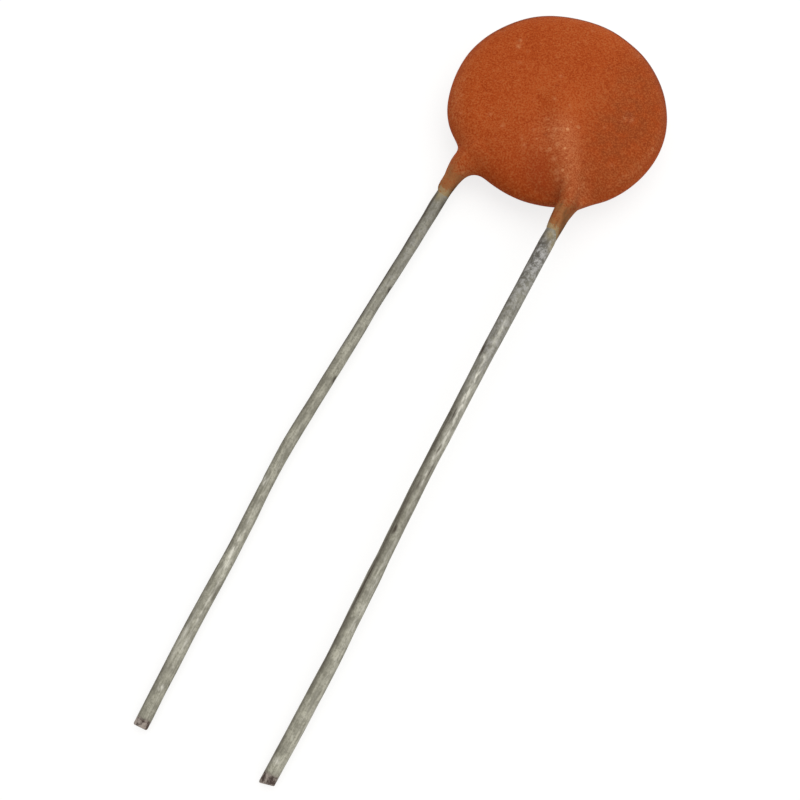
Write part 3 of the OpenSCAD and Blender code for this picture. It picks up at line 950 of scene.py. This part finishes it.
# Grains of filler, and pits between them, that stand out: X and Y from the disc's centre in mm, and strength
PALE_GRAINS = (
    (-2.66, 1.48, 0.9), (1.3, -3.3, 0.9), (0.45, -1.65, 0.85), (0.96, -2.85, 0.85), (1.79, -3.4, 0.8),
    (0.82, -2.25, 0.8), (3.14, -1.87, 0.55), (2.47, -3.25, 0.6), (2.89, 0.44, 0.5), (-0.43, 0.87, 0.55),
    (-1.58, -2.34, 0.5), (1.45, -3.53, 0.6), (1.81, -3.65, 0.6), (0.72, -1.56, 0.6), (-0.18, -0.37, 0.5),
    (2.67, 0.11, 0.4), (2.7, 0.62, 0.5), (3.02, 0.55, 0.4), (2.99, 0.27, 0.5), (2.76, 0.33, 0.4),
    (2.12, -4.42, 0.8), (2.2, -5.02, 0.7), (2.27, -5.4, 0.8), (2.02, -4.7, 0.6), (-0.4, -2.73, 0.5),
    (1.72, -2.87, 0.55), (0.44, -1.92, 0.5), (-2.29, -2.08, 0.4), (2.17, -0.48, 0.4), (0.5, -0.39, 0.4),
    (1.01, -1.88, 0.45), (1.47, -2.22, 0.45), (2.33, -2.55, 0.35), (-2.26, 0.74, 0.35), (-0.11, -1.3, 0.4),
    (-0.21, 3.74, 0.4), (-0.64, -2.49, 0.4), (1.78, -2.01, 0.4),
)
DARK_PITS = (
    (2.08, -2.37, 0.7), (0.18, -1.95, 0.55), (2.84, 0.56, 0.55), (2.92, 0.19, 0.55), (2.71, 0.47, 0.45),
    (-0.38, 0.35, 0.5), (3.92, -0.3, 0.6), (1.16, 2.21, 0.45), (1.81, 1.78, 0.4), (1.65, -3.58, 0.5),
    (1.96, 2.58, 0.4), (2.58, 0.01, 0.6), (3.23, -0.66, 0.45),
)


@dataclass
class Coat:
    """The dipped resin: a crowned disc with a round rim, ridges over the leads, webs and sleeves, in mm."""

    centre: Array
    sleeves: tuple[Sleeve, ...]
    radius: float = 4.62
    rim_reach: float = 1.1     # how far in from the outline the rim is rounded
    rim_rise: float = 0.60     # half thickness that this rounding comes up to
    crown: float = 0.38        # how much thicker the middle is, on each face
    crown_curve: float = 2.5   # how soon it gets so, from the rim
    half_height: float = 1.19  # the CAD solid's half height, which nothing passes
    web_from: Span = (-0.25, 0.55)                  # past the outline, where the rim turns into the webs
    web_side: Span = (0.5, 1.9)                     # beside a wire, where the webs' shape fades
    web_inner: Span = (-1.5, -0.5)                  # along it, where their shape starts
    tail_blend: float = 0.12   # width of the soft joint where a sleeve is on its own
    ridge_blend: float = 0.55  # how much wider that joint gets over a seated wire
    blend_span: Span = (-0.1, 0.8)                  # past the rim, where the disc's joint becomes the tail's
    ridge_span: Span = (0.0, 1.5)                   # inside the rim, where the ridge's joint widens
    swell: float = 0.010       # slow unevenness of the skin
    swell_wave: Ripple = Ripple(2.2, 3)
    swell_end: Span = (0.1, 0.7)                    # past the rim, where it ends
    fine: float = 0.038        # grid spacing about the sleeves
    coarse: float = 0.075      # and elsewhere
    layer: float = 0.05        # and in height
    room: float = 0.06         # the grid goes this far past the outline
    tail_room: float = 0.1     # and this far past the sleeves' tails
    floor_room: float = 0.2    # and this far under and over the coat
    fine_from: float = 3.4     # towards the leads it is fine from here on
    fine_half: float = 0.55    # and across them it is fine this far to each side of a sleeve's middle
    sleeve_middle: float = 0.9                      # past the rim
    pulls: int = 4             # steps that bring the mesh onto the surface
    outline: tuple[Span, ...] = (                   # its radius by angle in degrees
        (-180, 4.615), (-165, 4.645), (-152, 4.69), (-142, 4.7), (-135, 4.63), (-118, 4.55), (-110, 4.55),
        (-104, 4.56), (-98, 4.575), (-90, 4.59), (-80, 4.605), (-70, 4.62), (-60, 4.635), (-50, 4.65),
        (-42, 4.65), (-34, 4.635), (-22, 4.62), (-10, 4.61), (0, 4.61), (12, 4.61), (22, 4.595),
        (30, 4.565), (42, 4.56), (54, 4.58), (64, 4.61), (75, 4.62), (86, 4.62), (94, 4.61), (102, 4.595),
        (110, 4.615), (120, 4.65), (128, 4.65), (136, 4.63), (144, 4.62), (154, 4.64), (165, 4.63),
    )
    smoothing: int = 24        # passes over it, at one radius a degree
    face_from: Span = (0.1, 0.4)                    # above the middle, where what lies on the face starts
    stain_reach: Span = (0.5, 0.7)                  # from a wire's middle, where the sleeves' stains fade
    grain_size: Span = (0.062, 0.03)                # the least size of a grain, and what strength adds
    hole_size: float = 0.075
    ring: float = 0.17         # radius of the raised ring round the pit
    ring_height: float = 0.012
    pit_depth: float = 0.028
    blister_height: float = 0.05
    chip_depth: float = 0.07
    pit: Span = (2.85, 0.42)   # the marks' places from the disc's centre, X and Y
    blister: Span = (-2.72, 1.78)
    chip: Span = (-3.72, 2.15)
    smudge: Span = (1.95, 3.62)

    def __post_init__(self) -> None:
        """Smooths the outline's given radii into a table, one a degree."""
        self.angles = np.arange(-180, 180)
        given = np.array(self.outline)
        table = np.interp(self.angles, given[:, 0], given[:, 1], period=360)
        for _ in range(self.smoothing):
            table = (np.roll(table, 1) + 2 * table + np.roll(table, -1)) / 4
        self.radii = table

    def beyond(self, points: Array) -> Array:
        """Returns how far each point lies outside the outline, seen from above."""
        x, y = points[:, 0] - self.centre[0], points[:, 1] - self.centre[1]
        turn = np.degrees(np.arctan2(y, x))
        return np.hypot(x, y) - np.interp(turn, self.angles, self.radii, period=360)

    def distance(self, points: Array) -> Array:
        """Works out the coat's surface.

        Args:
            points: in mm.

        Returns:
            Each point's distance to it, below 0 inside.
        """
        beyond = plan = self.beyond(points)
        height = points[:, 2] - self.centre[2]
        reach = np.full(len(points), self.rim_reach)
        lift = np.full(len(points), self.rim_rise)
        uneven = np.full(len(points), self.swell)
        tubes = []
        for sleeve in self.sleeves:
            along, left, up = sleeve.path.around(points)
            uneven = uneven * (1 - rise(along, *self.swell_end))
            plan = np.minimum(plan, sleeve.web(beyond, along, left))
            beside = (1 - rise(np.abs(left), *self.web_side)) * rise(along, *self.web_inner)
            out, down = rise(beyond, *self.web_from) * beside, rise(beyond, *sleeve.descent) * beside
            height = height * (1 - down) + up * down
            reach = reach + (sleeve.web_lift - reach) * out
            lift = lift + (sleeve.web_lift - lift) * out
            soft = self.tail_blend + (sleeve.blend - self.tail_blend) * (1 - rise(along, *self.blend_span))
            soft = soft + self.ridge_blend * rise(-along, *self.ridge_span)
            tubes.append((sleeve.tube(along, left, up), soft))
        inward = np.clip(-beyond / self.radius, 0, 1)
        crown = self.crown * (1 - (1 - inward) ** self.crown_curve)
        solid = rounded(plan + reach, np.abs(height) - crown, reach, lift)
        for tube, soft in tubes:
            solid = flow(solid, tube, soft)
        solid = solid - self.swell_wave.at(points) * uneven - self.marks(points)
        return np.maximum(solid, np.abs(points[:, 2] - self.centre[2]) - self.half_height)

    def marks(self, points: Array) -> Array:
        """Works out the relief of the pit with its raised ring, the blister and the chip.

        Args:
            points: in mm.

        Returns:
            How far they raise the surface at each point, in mm.
        """
        x, y, z = (points - self.centre).T
        off = apart(x, y, self.pit)
        height = self.ring_height * bell(off - self.ring, 0.08) - self.pit_depth * bell(off, 0.12)
        off = np.hypot((x - self.blister[0]) * 1.7, y - self.blister[1])        # it is longer than it is wide
        height = height + self.blister_height * bell(off, 0.11)
        height = height - self.chip_depth * bell(apart(x, y, self.chip), 0.13)
        return height * (z > 0)

    def build(self) -> Object:
        """Returns the coat's mesh object."""
        around = self.radius + self.room
        low = min(
            sleeve.path.middle(sleeve.length + sleeve.tail + self.tail_room)[1] for sleeve in self.sleeves)
        bands = ((low, self.centre[1] - self.fine_from, self.fine),)
        ys = graded(low, self.centre[1] + around, bands, self.coarse)
        middles = [sleeve.path.middle(self.sleeve_middle)[0] for sleeve in self.sleeves]
        bands = tuple((x - self.fine_half, x + self.fine_half, self.fine) for x in middles)
        xs = graded(self.centre[0] - around, self.centre[0] + around, bands, self.coarse)
        zs = np.arange(-self.floor_room, 2 * self.half_height + self.floor_room + self.layer, self.layer)
        points, quads = surface_net(xs, ys, zs, self.distance)
        for _ in range(self.pulls):
            points = self.pull(points)
        middle = self.centre[2]
        points[:, 2] = np.clip(points[:, 2], middle - self.half_height, middle + self.half_height)
        return mesh_object("coating_resin", points, quads.tolist(), self.values(points))

    def pull(self, points: Array, step: float = 0.01, longest: float = 0.04, flattest: float = 0.25) -> Array:
        """Moves points towards the surface by one step down its slope.

        Args:
            points: in mm.
            step: how far apart the slope is measured, to each side.
            longest: the longest move in mm, where the slope is 1.
            flattest: the least square of the slope that is reckoned with.

        Returns:
            The moved points.
        """
        slope = np.stack([
            (self.distance(points + step * axis) - self.distance(points - step * axis)) / (2 * step)
            for axis in np.eye(3)], -1)
        move = self.distance(points) / np.maximum((slope**2).sum(-1), flattest)
        return points - np.clip(move, -longest, longest)[:, None] * slope

    def values(self, points: Array) -> dict[str, Array]:
        """Works out what the finish reads.

        Args:
            points: the coat's corners in mm.

        Returns:
            Its values from 0 to 1, one a corner, by name.
        """
        x, y, z = (points - self.centre).T
        upper = rise(z, *self.face_from)
        beyond, turn = self.beyond(points), np.degrees(np.arctan2(y, x))
        film, stain = np.zeros(len(points)), np.zeros(len(points))
        for sleeve in self.sleeves:
            along, left, up = sleeve.path.around(points)
            film = np.maximum(film, sleeve.film(along, left, up))
            near = 1 - rise(np.hypot(left, up), *self.stain_reach)
            for spot in sleeve.stains:
                stain = stain + spot.at(along, np.degrees(np.arctan2(up, left))) * near
        along, left, _ = self.sleeves[0].path.around(points)
        onto, aside, _ = self.sleeves[1].path.around(points)

        # Pale powder lies on the ridge over the front lead; the face is paler low down and in a line at the
        # +X rim.
        # Painted light brightens the rim towards -X, the side of the front sleeve and, thinly, the rear
        # sleeve's web
        over_lead = 1.1 * bell(left - 0.08, 0.55) * rise(-along, -0.6, 0.4) * (1 - rise(-along, 2.4, 4.2))
        low_face = 0.5 * bell(apart(x, y, (0.3, -1.8)), 0.8)
        right_rim = 0.55 * bell(beyond + 0.3, 0.14) * bell(angle_between(turn, -5), 40)
        left_rim = 0.45 * bell(beyond + 0.3, 0.28) * bell(angle_between(turn, 205), 32)
        by_sleeve = 0.35 * bell(left - 0.5, 0.4) * rise(-along, -0.3, 0.1) * (1 - rise(-along, 0.6, 1.5))
        ridge = over_lead + low_face + right_rim + left_rim + by_sleeve
        web = (0.14 * rise(onto, -0.6, 0.1) + 0.36 * rise(onto, 0.25, 0.7)) * (1 - rise(onto, 0.9, 1.5))
        web = web * bell(aside, 0.9) * rise(-beyond, -1.9, -1.0)
        # Painted shade darkens the coat beside the ridge towards -X, low on the face and round the far rim,
        # and the resin is dull on the face's +X side, most about the pit
        by_ridge = 0.38 * bell(left + 1.25, 0.65) * rise(-along, -0.3, 0.3) * (1 - rise(-along, 1.2, 3.4))
        low_face = 0.25 * rise(-y, 0.6, 4.2) * rise(x, -3.0, -1.4)
        far_rim = bell(angle_between(turn, 80), 75) + 0.1 * bell(angle_between(turn, 190), 40)
        painted_shade_and_pit = by_ridge + low_face + far_rim * rise(beyond, -0.38, -0.2)
        painted_shade_and_pit = painted_shade_and_pit * (1 - film) * (1 - 0.7 * np.clip(ridge, 0, 1))
        right_side = 0.46 * rise(x, 0.6, 2.6)
        about_pit = 0.22 * bell(np.hypot(x - 2.9, (y + 0.2) * 0.6), 1.1)
        dull = right_side + about_pit
        # A faint line of painted shade runs along the far edge
        behind = 1 - rise(np.abs(angle_between(turn, 88)), 48, 95)
        side = np.clip(np.cos(np.radians(angle_between(turn, 110))), 0, 1)
        stain = stain + 0.32 * behind * bell(beyond + 0.03 + 0.13 * side, 0.06 + 0.09 * side) * (z > -0.1)
        # Small marks: the pit with its pale, broken ring, the blister, the smudge, grains and holes
        round_pit = np.arctan2(y - self.pit[1], x - self.pit[0])
        speck = 0.4 + 0.3 * np.cos(3 * round_pit + 1.0) + 0.2 * np.cos(5 * round_pit)
        speck = speck * bell(apart(x, y, self.pit) - self.ring, 0.07)
        spots = [(self.blister, 0.5, 0.08), (self.smudge, 0.25, 0.18)]
        least, more = self.grain_size
        spots += [(place, 0.7 * strength, least + more * strength) for *place, strength in PALE_GRAINS]
        for place, strength, size in spots:
            speck = np.maximum(speck, strength * bell(apart(x, y, place), size))
        pit = 0.5 * bell(apart(x, y, self.pit), 0.1)
        for *place, strength in DARK_PITS:
            pit = np.maximum(pit, strength * bell(apart(x, y, place), self.hole_size))
        sheets = {"film": film, "ridge": ridge * upper + web, "painted_shade_and_pit": painted_shade_and_pit, "dull": dull * upper,
                  "stain": stain, "speck": speck * upper, "pit": pit * upper}
        return {name: np.clip(sheet, 0, 1) for name, sheet in sheets.items()}


def graded(low: float, high: float, fine: tuple[tuple[float, float, float], ...], coarse: float) -> Array:
    """Returns grid lines from low to high, closer together in some bands.

    Args:
        low: first line.
        high: last line.
        fine: bands, each with its two ends and its spacing.
        coarse: spacing outside them.

    Returns:
        The lines' places, rising.
    """
    lines = [low]
    while lines[-1] < high:
        step = min([s for a, b, s in fine if a <= lines[-1] <= b] + [coarse])
        lines.append(lines[-1] + step)
    return np.array(lines)


def surface_net(xs: Array, ys: Array, zs: Array, distance: Callable[[Array], Array]) -> tuple[Array, Array]:
    """Meshes the surface where a distance is 0 by one corner in each grid cell that it crosses.

    Args:
        xs: grid lines along X.
        ys: grid lines along Y.
        zs: grid lines along Z.
        distance: gives the distance at points, below 0 inside.

    Returns:
        Corners, and the four corner numbers of each face, outwards.
    """
    grid = np.stack(np.meshgrid(xs, ys, zs, indexing="ij"), -1)
    shape = np.array(grid.shape[:3])
    parts = np.array_split(grid.reshape(-1, 3), 8)                  # which need less memory one by one
    value = np.concatenate([distance(part) for part in parts]).reshape(shape)
    cells = shape - 1
    total = np.zeros((cells.prod(), 3))
    hits = np.zeros(cells.prod())
    crossings = []
    for axis in range(3):
        a, b = [slice(None)] * 3, [slice(None)] * 3
        a[axis], b[axis] = slice(0, -1), slice(1, None)
        va, vb = value[tuple(a)], value[tuple(b)]
        where = np.argwhere((va < 0) != (vb < 0))
        key = tuple(where.T)
        share = va[key] / (va[key] - vb[key])
        pa, pb = grid[tuple(a)][key], grid[tuple(b)][key]
        point = pa + share[:, None] * (pb - pa)
        u, v = (axis + 1) % 3, (axis + 2) % 3
        ring = []
        for du, dv in ((0, 0), (1, 0), (1, 1), (0, 1)):
            cell = where.copy()
            cell[:, u] -= du
            cell[:, v] -= dv
            ring.append(np.ravel_multi_index(tuple(cell.T), tuple(cells), mode="clip"))
            np.add.at(total, ring[-1], point)
            np.add.at(hits, ring[-1], 1)
        quad = np.stack(ring, -1)
        leaving = va[key] < 0
        quad[leaving] = quad[leaving][:, ::-1]
        crossings.append(quad)
    used = np.flatnonzero(hits)
    number = np.full(len(hits), -1)
    number[used] = np.arange(len(used))
    return total[used] / hits[used, None], number[np.concatenate(crossings)]


# ---------------- the studio


@dataclass
class Studio:
    """A plain pale floor, soft light and the camera."""

    floor_size: float = 4.0                         # m
    floor_colour: str = "#d9d8d5"
    floor_seen: str = "#888785"                     # as the background, with the glow below
    floor_glow: float = 0.79                        # what a camera ray adds to the lit floor
    floor_fade: Span = (0.08, 0.4)                  # m from the object, where the floor turns plain white
    sky: float = 0.50
    camera_at: tuple[float, float, float] = (5.8125, -14.4606, 41.0892)             # mm
    right: tuple[float, float, float] = (0.88853907, 0.45863055, 0.01250365)
    up: tuple[float, float, float] = (-0.43770742, 0.83920483, 0.32271887)
    forward: tuple[float, float, float] = (-0.13751561, 0.29222126, -0.94641227)
    lens: float = 49.5                              # mm
    sensor: float = 36.0                            # mm
    nearest: float = 0.001                          # m, what the camera sees from

    def build(self) -> None:
        """Makes the floor, the world, the lamps and the camera."""
        self.build_floor()
        self.build_world()
        self.build_lamps()
        self.build_camera()

    def build_floor(self) -> None:
        """Lays the floor, which a camera ray sees as white apart from the object's shadow."""
        half = self.floor_size / 2
        mesh = bpy.data.meshes.new("floor")
        mesh.from_pydata([(-half, -half, 0), (half, -half, 0), (half, half, 0), (-half, half, 0)], [],
                         [(0, 1, 2, 3)])
        material = empty_material("matt_pale_board")
        tree = material.node_tree
        seen = self.shown(tree)
        place = add_node(tree, "TexCoord").outputs["Object"]
        away = add_node(tree, "VectorMath", {0: place}, operation="LENGTH").outputs["Value"]
        value = {"seen": seen, "away": away}
        work_out(tree, value, (
            ("level", RANGE, "away", *self.floor_fade, self.floor_glow, 1.0),
            ("glow", TIMES, "seen", "level"),
        ))
        paint = add_node(tree, "Mix", {0: seen, 6: linear(self.floor_colour), 7: linear(self.floor_seen)},
                         data_type="RGBA").outputs[2]
        board = add_node(tree, "BsdfDiffuse", {"Color": paint})
        light = add_node(tree, "Emission", {"Color": WHITE, "Strength": value["glow"]})
        both = add_node(tree, "AddShader", {0: board.outputs[0], 1: light.outputs[0]})
        add_node(tree, "OutputMaterial", {"Surface": both.outputs[0]})
        mesh.materials.append(material)
        floor = add_object("floor", mesh)

    def shown(self, tree: NodeTree) -> NodeSocket:
        """Tells the rays that show the background, directly, in a reflection or through a thing.

        Args:
            tree: the node tree.

        Returns:
            1 for them and 0 for the others.
        """
        ray = add_node(tree, "LightPath").outputs
        value = {name: ray[f"Is {name} Ray"] for name in ("Camera", "Glossy", "Transmission")}
        work_out(tree, value, (
            ("seen", LARGER, "Camera", "Glossy"),
            ("seen", LARGER, "seen", "Transmission"),
        ))
        return value["seen"]

    def build_world(self) -> None:
        """Makes the sky: white to the camera, weaker as a light."""
        world = bpy.data.worlds.new("studio")
        bpy.context.scene.world = world
        world.use_nodes = True
        tree = world.node_tree
        tree.nodes.clear()
        value = {"seen": self.shown(tree)}
        work_out(tree, value, (("level", RANGE, "seen", 0.0, 1.0, self.sky, 1.0),))
        back = add_node(tree, "Background", {"Color": WHITE, "Strength": value["level"]})
        add_node(tree, "OutputWorld", {"Surface": back.outputs[0]})

    def build_lamps(self) -> None:
        """Hangs a large soft lamp over the disc's far side, and a weaker one to the picture's right."""
        for name, place, size, power in (
            ("key_softbox", (0.0, 0.11, 0.25), 0.45, 0.575),
            ("side_softbox", (0.20, -0.02, 0.14), 0.25, 0.12),
        ):
            lamp = bpy.data.lights.new(name, "AREA")
            lamp.shape = "DISK"
            lamp.size = size
            lamp.energy = power
            holder = add_object(name, lamp)
            holder.location = place
            holder.rotation_euler = (-Vector(place)).to_track_quat("-Z", "Y").to_euler()

    def build_camera(self) -> None:
        """Sets the camera at its place, looking down on the object."""
        camera = bpy.data.cameras.new("camera")
        camera.lens = self.lens
        camera.sensor_width = self.sensor
        camera.clip_start = self.nearest
        holder = add_object("camera", camera)
        turn = Matrix((self.right, self.up, tuple(-c for c in self.forward))).transposed()
        holder.matrix_world = Matrix.Translation(Vector(self.camera_at) * MM) @ turn.to_4x4()
        bpy.context.scene.camera = holder


# ---------------- putting it together


def dress_inside() -> None:
    """Gives the ceramic, its electrodes and the solder, which the coat hides, their finishes."""
    for names, finish in (
        (("ceramic_disc",), FIRED_CERAMIC),
        (("front_electrode", "rear_electrode"), FIRED_SILVER),
        (("front_solder", "rear_solder"), BATH_SOLDER),
    ):
        material = finish.build()
        for name in names:
            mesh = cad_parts[name].data
            mesh.materials.clear()
            mesh.materials.append(material)
            log.info("%s: %s", name, finish.name)


def main() -> None:
    """Builds the leads, the coat, what it hides and the studio, in that order."""
    logging.basicConfig(level=logging.INFO, format="%(message)s")
    bpy.context.scene.view_settings.view_transform = "Standard"
    low, high = (np.array(corner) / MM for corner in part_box("ceramic_disc"))
    centre = (low + high) / 2

    front_path, rear_path = LeadPath("front_lead"), LeadPath("rear_lead")
    for path in (front_path, rear_path):
        path.find_rim(centre, Coat.radius)
    wire = TinnedWire().build()
    for lead in (
        Lead(front_path, FRONT_WEAR, FRONT_GIRTH, slant=0.06, short=-0.045),
        Lead(rear_path, REAR_WEAR, REAR_GIRTH),
    ):
        hand_over(lead.build(), wire, lead.path.node)

    coat = Coat(centre, (
        Sleeve(front_path, 1.66, left_fillet=0.92, right_fillet=0.12, thinning=(-0.1, 1.0), seed=3,
               lumps=(Spot(0.95, 180, 0.5, 45, 0.035),), tongues=(Spot(1.66, 0, 1.0, 50, 0.3),),
               stains=FRONT_STAINS),
        Sleeve(rear_path, 1.75, left_fillet=0.98, right_fillet=0.22, rim_wall=0.17, blend=0.5, web_lift=0.52,
               descent=(-0.35, 1.45), thinning=(-0.35, 1.5), seed=4,
               lumps=(Spot(0.7, 90, 0.9, 50, 0.06), Spot(0.4, -90, 1.6, 70, -0.1),
                      Spot(1.35, 175, 0.5, 50, 0.06), Spot(1.4, 0, 0.6, 50, -0.03)),
               stains=REAR_STAINS),
    ))
    hand_over(coat.build(), PhenolicDip().build(), "coating")
    dress_inside()
    Studio().build()


if __name__ == "__main__":
    main()
